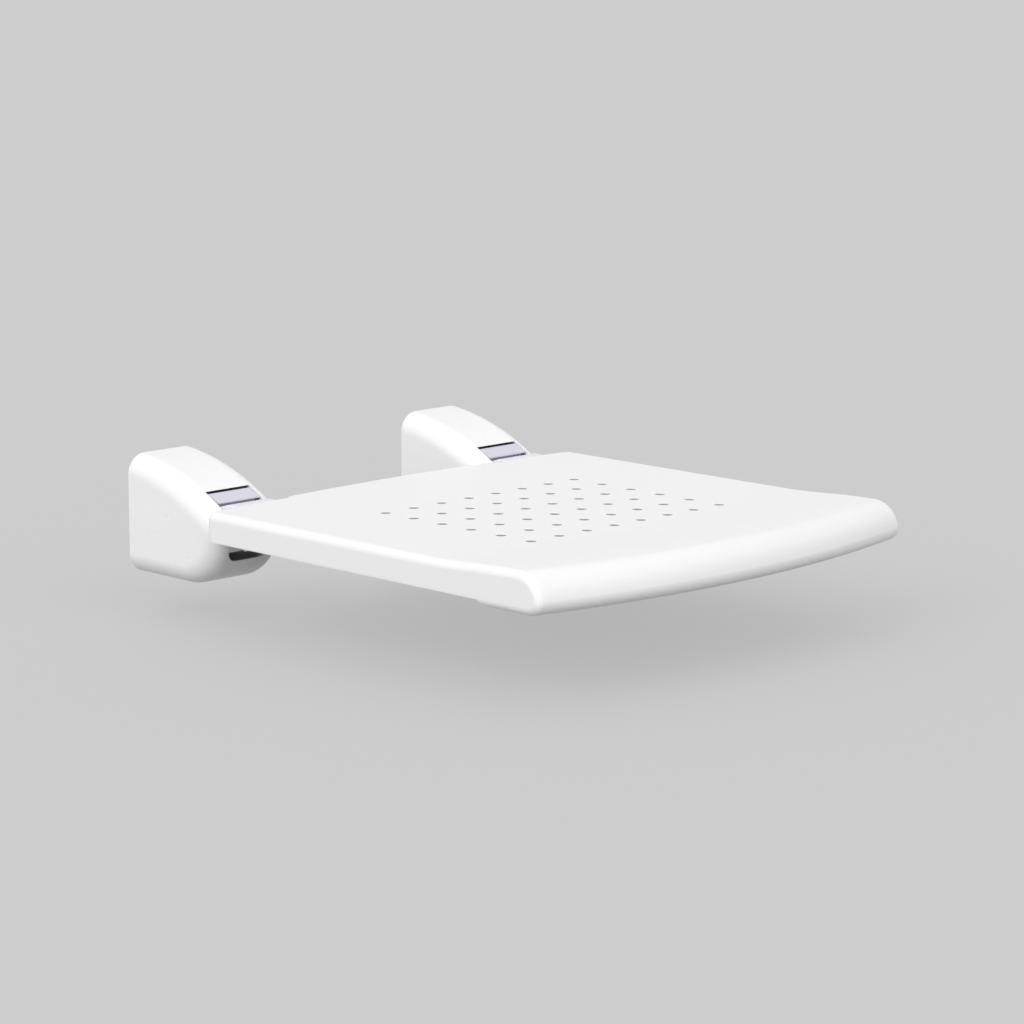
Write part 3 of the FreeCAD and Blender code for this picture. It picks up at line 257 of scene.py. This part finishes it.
def paint_hole_shade(material):
    """Mixes a darker colour into a material on the walls of the drain holes, as painted shade."""
    tree = material.node_tree
    shader = tree.nodes["Principled BSDF"]
    clean = shader.inputs["Base Color"].links[0].from_socket
    place_of = tree.nodes.new("ShaderNodeTexCoord")
    split = tree.nodes.new("ShaderNodeSeparateXYZ")
    tree.links.new(place_of.outputs["Object"], split.inputs["Vector"])
    factors = []
    for axis, ends in SHADED_HOLE_WALLS.items():
        for (edge, soft), target in zip(ends, ((0, 1), (1, 0))):
            band = ((edge - soft) * MM, (edge + soft) * MM)
            factors.append(remap(tree, split.outputs[axis], band, target))
    inside = factors[0]
    for factor in factors[1:]:
        both = tree.nodes.new("ShaderNodeMath")
        both.operation = "MULTIPLY"
        tree.links.new(inside, both.inputs[0])
        tree.links.new(factor, both.inputs[1])
        inside = both.outputs[0]
    blend = colour_mix(tree, inside)
    blend.inputs["B"].default_value = (*HOLE_SHADE_GREY, 1)
    tree.links.new(clean, blend.inputs["A"])
    tree.links.new(blend.outputs["Result"], shader.inputs["Base Color"])
    print("limits of the grey walls:", len(factors))


# The seat's white gets painted shade on the walls of its drain holes.
paint_hole_shade(SEAT_WHITE)

# %% [markdown]
# The arms are cast and powder coated a pale blue grey. Powder flows into a faint orange peel, which
# is a coarser noise than the plastic's grain. The caps over them are moulded in the nearest plastic
# colour.

# %% Arms and caps
ARM_COAT = finish("ArmPowderCoat", (0.66, 0.65, 0.74), (0.62, 0.61, 0.70),
                  roughness=0.42, spread=0.05, patch=16, grain=1.8, depth=0.03)
CAP_GREY = finish("CapPlastic", (0.84, 0.83, 0.90), (0.81, 0.80, 0.87),
                  roughness=0.36, spread=0.04, patch=22, grain=0.8, depth=0.01)

# %% [markdown]
# Metals: the bracket inside the cover is a plain casting with a sandy skin, the cross tubes are
# anodised and drawn, so their grain runs along X, and the screws are turned stainless steel with
# fine rings across Z. The hinge pins lie along X, so the rings of their ground steel are across X.

# %% Metals
CAST_METAL = finish("CastAluminium", (0.70, 0.71, 0.73), (0.60, 0.61, 0.63), metallic=1.0,
                    roughness=0.52, spread=0.08, patch=9, grain=0.7, depth=0.05)
TUBE_METAL = finish("AnodisedTube", (0.74, 0.75, 0.77), (0.68, 0.69, 0.71), metallic=1.0,
                    roughness=0.34, spread=0.06, patch=6, grain=0.5, depth=0.01,
                    stretch=(0.03, 1, 1))
SCREW_STEEL = finish("TurnedSteel", (0.72, 0.71, 0.70), (0.62, 0.61, 0.60), metallic=1.0,
                     roughness=0.27, spread=0.07, patch=3, grain=0.4, depth=0.012,
                     stretch=(0.12, 0.12, 1))
PIN_STEEL = finish("GroundSteel", (0.70, 0.70, 0.71), (0.62, 0.62, 0.63), metallic=1.0,
                   roughness=0.2, spread=0.05, patch=4, grain=0.35, depth=0.008,
                   stretch=(1, 0.1, 0.1))

# %% [markdown]
# Rubber is nearly black and rough, with a dusty bloom. Bushes and washers are natural acetal, which
# lets a little light in, so it gets some subsurface scattering. The tubes' plugs are plain grey
# plastic.

# %% Rubber, acetal and plugs
GASKET_RUBBER = finish("GasketRubber", (0.045, 0.045, 0.047), (0.09, 0.09, 0.092),
                       roughness=0.72, spread=0.1, patch=12, grain=0.6, depth=0.03)
STOP_RUBBER = finish("StopRubber", (0.035, 0.035, 0.037), (0.075, 0.075, 0.078),
                     roughness=0.62, spread=0.1, patch=7, grain=0.5, depth=0.03)
ACETAL = finish("Acetal", (0.84, 0.82, 0.76), (0.80, 0.78, 0.72),
                roughness=0.38, spread=0.05, patch=8, grain=0.8, depth=0.01,
                Subsurface_Weight=0.25, Subsurface_Scale=0.002)
PLUG_GREY = finish("PlugPlastic", (0.52, 0.52, 0.53), (0.46, 0.46, 0.47),
                   roughness=0.5, spread=0.06, patch=6, grain=0.6, depth=0.02)

# %% [markdown]
# Each bracket is a rubber gasket, a cast plate, a cover, and the hinge pin with what turns or stops
# on it. Each arm carries its bushes and its cap. The table gives the piece, the body it moves with,
# its finish, a slot name and how far its edges are softened, in millimetres. The thin gaskets
# and washers keep their edges, and the small pieces hidden inside get small radii.

# %% Dress the pieces of both sides
SIDE_PIECES = (
    ("wall_gasket", "wall_brackets", GASKET_RUBBER, "gasket", 0),
    ("wall_plate", "wall_brackets", CAST_METAL, "bracket_metal", 0.5),
    ("cover", "wall_brackets", COVER_WHITE, "cover", 0.5),
    ("hinge_pin", "wall_brackets", PIN_STEEL, "pin", 0.15),
    ("pin_ring", "wall_brackets", PIN_STEEL, "pin", 0.1),
    ("friction_washers", "wall_brackets", ACETAL, "bearing", 0),
    ("stop_screw", "wall_brackets", SCREW_STEEL, "fastener", 0.25),
    ("stop_nut", "wall_brackets", SCREW_STEEL, "fastener", 0.25),
    ("stop_pad", "wall_brackets", STOP_RUBBER, "stop_rubber", 0.2),
    ("pivot_bushes", "seat", ACETAL, "bearing", 0.1),
    ("hinge_arm", "seat", ARM_COAT, "arm", 0.6),
    ("arm_cap", "seat", CAP_GREY, "arm_cap", 0.3),
)
for side in SIDES:
    for node, body, material, slot, soft in SIDE_PIECES:
        place(dressed(f"{node}_{side}", soft), body, material, slot, f"{node}_{side}")

# %% [markdown]
# The seat itself is one moulding that lies across both arms, and two tubes tie the arms together
# under it. These pieces have no left and right copy, so they have a table of their own.

# %% Dress the seat and its cross tubes
COMMON_PIECES = (
    ("seat_shell", SEAT_WHITE, "seat", 0.3),
    ("rear_tube", TUBE_METAL, "tube", 0.2),
    ("front_tube", TUBE_METAL, "tube", 0.2),
    ("tube_plugs", PLUG_GREY, "plug", 0.2),
    ("tube_pins", PIN_STEEL, "pin", 0.15),
)
for node, material, slot, soft in COMMON_PIECES:
    place(dressed(node, soft), "seat", material, slot, node)

# %% [markdown]
# A screw is a turned piece, so its mesh is lathed in bmesh: a profile is swept about Z. Lathing
# needs no modifier, and one profile can carry the head, its socket and the shank.

# %% A lathe
LATHE_SIDES = 40


def lathe(profile):
    """A closed turned shape about Z from (radius, height) points that start and end on the axis."""
    shape = bmesh.new()
    angles = [2 * math.pi * i / LATHE_SIDES for i in range(LATHE_SIDES)]
    rings = []
    for radius, height in profile:
        if radius == 0:
            rings.append([shape.verts.new((0, 0, height))])
        else:
            rings.append([shape.verts.new((radius * math.cos(a), radius * math.sin(a), height))
                          for a in angles])
    for low, high in zip(rings, rings[1:]):
        for i in range(LATHE_SIDES):
            j = (i + 1) % LATHE_SIDES
            corners = [low[i % len(low)], low[j % len(low)],
                       high[j % len(high)], high[i % len(high)]]
            shape.faces.new(list(dict.fromkeys(corners)))
    bmesh.ops.recalc_face_normals(shape, faces=shape.faces)
    return shape


print("a turned piece has", LATHE_SIDES, "sides")

# %% [markdown]
# These are stainless pan head screws. The CAD screws are plain, so the rounded head and the thread
# are made here. A lathe makes round shapes only: a round socket stands in for a hexagon one, and
# the thread is rings and not a helix, which looks the same at this size and keeps the mesh closed.

# %% One screw
CROWN_ANGLES = (0, 12, 26, 42, 58)
CROWN_FOOT = 0.35
SOCKET_FLOOR, SOCKET_MOUTH, HEAD_FLAT = 0.25, 0.93, 0.9
THREAD_START, PLAIN_LENGTH = 0.6, 1
THREAD_DEPTH, THREAD_FLANK, THREAD_CREST = 0.22, 0.4, 0.55
TIP = 0.8


def screw_mesh(name, head, length, *, head_height, shank, pitch, socket):
    """A pan head screw that points up, with its head below Z = 0. All sizes in millimetres, the
    radii head, shank and socket among them. The head's proportions above are shares of its height
    or radius, and the thread's are shares of the pitch."""
    crown = [(head * math.cos(a), -head_height * (CROWN_FOOT + (1 - CROWN_FOOT) * math.sin(a)))
             for a in map(math.radians, CROWN_ANGLES)]
    top_radius = crown[-1][0]
    profile = [(0, -head_height * SOCKET_FLOOR), (socket, -head_height * SOCKET_FLOOR),
               (socket, -head_height * SOCKET_MOUTH), (top_radius * HEAD_FLAT, -head_height),
               *reversed(crown), (head, 0), (shank, 0)]
    for turn in range(int((length - PLAIN_LENGTH) / pitch)):
        base = THREAD_START + turn * pitch
        profile += [(shank - THREAD_DEPTH * pitch, base), (shank, base + THREAD_FLANK * pitch),
                    (shank, base + THREAD_CREST * pitch)]
    profile += [(shank * TIP, length), (0, length)]
    shape = lathe([(r * MM, z * MM) for r, z in profile])
    mesh = bpy.data.meshes.new(name)
    shape.to_mesh(mesh)
    shape.free()
    mesh.shade_smooth()
    print(name, len(mesh.polygons), "faces")
    return mesh


# %% [markdown]
# Screws repeat, so one Geometry Nodes tree makes all the rows: it sets a finished screw on each
# point of a line, makes the copies real and gives them their material. Another number of screws is
# then one value, and no copy is placed by hand.

# %% A row of fittings in Geometry Nodes
ROW_INPUTS = (("Fitting", "NodeSocketObject"), ("Count", "NodeSocketInt"),
              ("Start", "NodeSocketVector"), ("Step", "NodeSocketVector"),
              ("Material", "NodeSocketMaterial"))


def row_tree():
    """Sets an object on points along a line, then makes it real and gives it a material."""
    tree = bpy.data.node_groups.new("Row of fittings", "GeometryNodeTree")
    tree.interface.new_socket("Geometry", in_out="OUTPUT", socket_type="NodeSocketGeometry")
    for name, kind in ROW_INPUTS:
        tree.interface.new_socket(name, in_out="INPUT", socket_type=kind)
    nodes, links = tree.nodes, tree.links
    given, result = nodes.new("NodeGroupInput"), nodes.new("NodeGroupOutput")
    line = nodes.new("GeometryNodeMeshLine")
    line.mode = "OFFSET"
    fitting = nodes.new("GeometryNodeObjectInfo")
    spread = nodes.new("GeometryNodeInstanceOnPoints")
    real = nodes.new("GeometryNodeRealizeInstances")
    coat = nodes.new("GeometryNodeSetMaterial")
    links.new(given.outputs["Count"], line.inputs["Count"])
    links.new(given.outputs["Start"], line.inputs["Start Location"])
    links.new(given.outputs["Step"], line.inputs["Offset"])
    links.new(given.outputs["Fitting"], fitting.inputs["Object"])
    links.new(line.outputs["Mesh"], spread.inputs["Points"])
    links.new(fitting.outputs["Geometry"], spread.inputs["Instance"])
    links.new(spread.outputs["Instances"], real.inputs["Geometry"])
    links.new(real.outputs["Geometry"], coat.inputs["Geometry"])
    links.new(given.outputs["Material"], coat.inputs["Material"])
    links.new(coat.outputs["Geometry"], result.inputs["Geometry"])
    return tree


ROW = row_tree()
print("nodes in the row tree:", len(ROW.nodes))

# %% [markdown]
# The tree takes its values through sockets that Blender names by itself, so each socket is looked
# up by its label. The result is kept as a plain mesh, and the single screw is thrown away.

# %% A row as a plain mesh


def row_of(name, mesh, count, start, step, material):
    """A row of one fitting as a plain mesh."""
    fitting = linked(name + "_one", mesh)
    piece = linked(name, bpy.data.meshes.new(name))
    modifier = piece.modifiers.new("Row", "NODES")
    modifier.node_group = ROW
    names = {item.name: item.identifier for item in ROW.interface.items_tree}
    for (label, _), value in zip(ROW_INPUTS, (fitting, count, start, step, material)):
        modifier[names[label]] = value
    plain_mesh(piece)
    bpy.data.objects.remove(fitting)
    return piece


# %% [markdown]
# Four screws hold the seat on each arm, in a row along Y, and two hold each cover, in a row along
# X. Their places come from the CAD pieces' boxes, so a row always starts and ends where the CAD
# screws do. A head's radius is half the box's width across the row.

# %% Arm screws and cover screws
X, Y = 0, 1
SCREW_ROWS = (
    # CAD piece, body, the row's axis, number of screws, name of the mesh, sizes in millimetres
    ("arm_screws", "seat", Y, 4, "ArmScrew",
     {"head_height": 2.8, "shank": 2.5, "pitch": 0.8, "socket": 2.1}),
    ("cover_screws", "wall_brackets", X, 2, "CoverScrew",
     {"head_height": 1.8, "shank": 2.0, "pitch": 0.7, "socket": 1.2}),
)
for side in SIDES:
    for node, body, along, count, mesh_name, sizes in SCREW_ROWS:
        low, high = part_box(f"{node}_{side}")
        across = Y if along == X else X
        head = (high[across] - low[across]) / 2 / MM
        length = (high.z - low.z) / MM - sizes["head_height"]
        start = low + Vector((head, head, sizes["head_height"])) * MM
        step = Vector((0, 0, 0))
        step[along] = (high[along] - low[along] - 2 * head * MM) / (count - 1)
        screw = screw_mesh(mesh_name, head, length, **sizes)
        row = row_of(f"{node}_{side}_row", screw, count, start, step, SCREW_STEEL)
        place(row, body, SCREW_STEEL, "fastener", f"{node}_{side}")

# %% [markdown]
# The studio stands on one plane that runs past the view, so that its far edge never shows. It lies
# a little under the covers, where it takes the shadow of the seat.

# %% Floor
FLOOR_DROP = 90 * MM
FLOOR_REACH = 60.0
FLOOR_CORNERS = ((-1, -1), (1, -1), (1, 1), (-1, 1))

floor_mesh = bpy.data.meshes.new("floor")
corners = [(x * FLOOR_REACH, y * FLOOR_REACH, -FLOOR_DROP) for x, y in FLOOR_CORNERS]
floor_mesh.from_pydata(corners, [], [(0, 1, 2, 3)])
floor = linked("floor", floor_mesh)
print("floor:", 2 * FLOOR_REACH, "m wide,", FLOOR_DROP, "m below the middle of the fixings")

# %% [markdown]
# The floor is matt paper. Its own grey is darker than it looks in the picture, so it throws little
# light up and the undersides stay shaded. For the rays that the camera sees, straight or mirrored,
# half of the floor's tone is given as light of the background's colour. The seat's shadow lies on
# the other half only, which keeps it soft and faint.

# %% Floor colour
FLOOR_GREY = 0.34
BACKGROUND = (0.604, 0.597, 0.604, 1)
SEEN_SHARE = 0.5
SEEN_LEVEL = 1.44

floor_material = bpy.data.materials.new("FloorGrey")
floor_material.use_nodes = True
floor_mesh.materials.append(floor_material)
floor_nodes, floor_links = floor_material.node_tree.nodes, floor_material.node_tree.links
floor_shader = floor_nodes["Principled BSDF"]
floor_shader.inputs["Base Color"].default_value = (FLOOR_GREY, FLOOR_GREY, FLOOR_GREY, 1)
floor_shader.inputs["Roughness"].default_value = 1.0
floor_shader.inputs["Specular IOR Level"].default_value = 0.0
seen = floor_nodes.new("ShaderNodeEmission")
seen.inputs["Color"].default_value = BACKGROUND
seen.inputs["Strength"].default_value = SEEN_LEVEL
floor_ray = floor_nodes.new("ShaderNodeLightPath")
either = floor_nodes.new("ShaderNodeMath")
either.operation = "MAXIMUM"
share = floor_nodes.new("ShaderNodeMath")
share.operation = "MULTIPLY"
share.inputs[1].default_value = SEEN_SHARE
show = floor_nodes.new("ShaderNodeMixShader")
floor_links.new(floor_ray.outputs["Is Camera Ray"], either.inputs[0])
floor_links.new(floor_ray.outputs["Is Glossy Ray"], either.inputs[1])
floor_links.new(either.outputs[0], share.inputs[0])
floor_links.new(share.outputs[0], show.inputs[0])
floor_links.new(floor_shader.outputs[0], show.inputs[1])
floor_links.new(seen.outputs[0], show.inputs[2])
floor_links.new(show.outputs[0], floor_nodes["Material Output"].inputs["Surface"])
print("share of the floor that is given as light:", SEEN_SHARE)

# %% [markdown]
# An even white sky gives most of the light, as a photographer's tent does. The camera doesn't see
# that sky: where no piece and no floor is in the way, Light Path's camera ray picks the
# background's colour instead, so what is behind the seat has the photograph's tone.

# %% Sky
SKY_LEVEL = 0.74
scene.world = bpy.data.worlds.new("Sky")
scene.world.use_nodes = True
sky_nodes, sky_links = scene.world.node_tree.nodes, scene.world.node_tree.links
sky = sky_nodes["Background"]
sky.inputs["Color"].default_value = (1, 1, 1, 1)
sky.inputs["Strength"].default_value = SKY_LEVEL
behind = sky_nodes.new("ShaderNodeBackground")
behind.inputs["Color"].default_value = BACKGROUND
ray = sky_nodes.new("ShaderNodeLightPath")
choose = sky_nodes.new("ShaderNodeMixShader")
sky_links.new(ray.outputs["Is Camera Ray"], choose.inputs[0])
sky_links.new(sky.outputs[0], choose.inputs[1])
sky_links.new(behind.outputs[0], choose.inputs[2])
sky_links.new(choose.outputs[0], sky_nodes["World Output"].inputs["Surface"])
print("sky level:", SKY_LEVEL)

# %% [markdown]
# Two sun lamps give the forms their light and dark sides. The key shines from the seat's left and
# the fill from near the front. Both have a wide disc, as a large soft box seen from the seat would,
# so that no shadow has a hard edge.

# %% Lamps
LAMPS = (
    # name, compass direction (0 is the front, negative is the left), height, strength, disc
    ("key", -80, 34, 1.2, 40),
    ("fill", -20, 30, 0.6, 60),
)


def direction(azimuth, elevation):
    """The way from the seat toward a compass direction and a height, both in degrees."""
    a, e = math.radians(azimuth), math.radians(elevation)
    return Vector((math.sin(a) * math.cos(e), -math.cos(a) * math.cos(e), math.sin(e)))


for name, azimuth, elevation, strength, disc in LAMPS:
    light = bpy.data.lights.new(name, "SUN")
    light.energy = strength
    light.angle = math.radians(disc)
    toward = direction(azimuth, elevation)
    linked(name, light).rotation_euler = toward.to_track_quat("Z", "Y").to_euler()
    print(name, "shines from", [round(v, 2) for v in toward])

# %% [markdown]
# The camera stands where the photographer's did: low, to the seat's left, far enough away for a
# long lens. Its numbers come from fitting points of the model to the same points of the photograph.

# %% Camera
AZIMUTH, ELEVATION = -44.8, 10.72
AIM = Vector((-35.5, -301.4, 16.0)) * MM
DISTANCE = 2.85
LENS, SENSOR = 120.66, 36
camera = linked("camera", bpy.data.cameras.new("camera"))
toward = direction(AZIMUTH, ELEVATION)
camera.location = AIM + toward * DISTANCE
camera.rotation_euler = toward.to_track_quat("Z", "Y").to_euler()
camera.data.lens = LENS
camera.data.sensor_width = SENSOR
scene.camera = camera
scene.view_settings.view_transform = "Standard"
print("camera at", [round(v, 3) for v in camera.location])
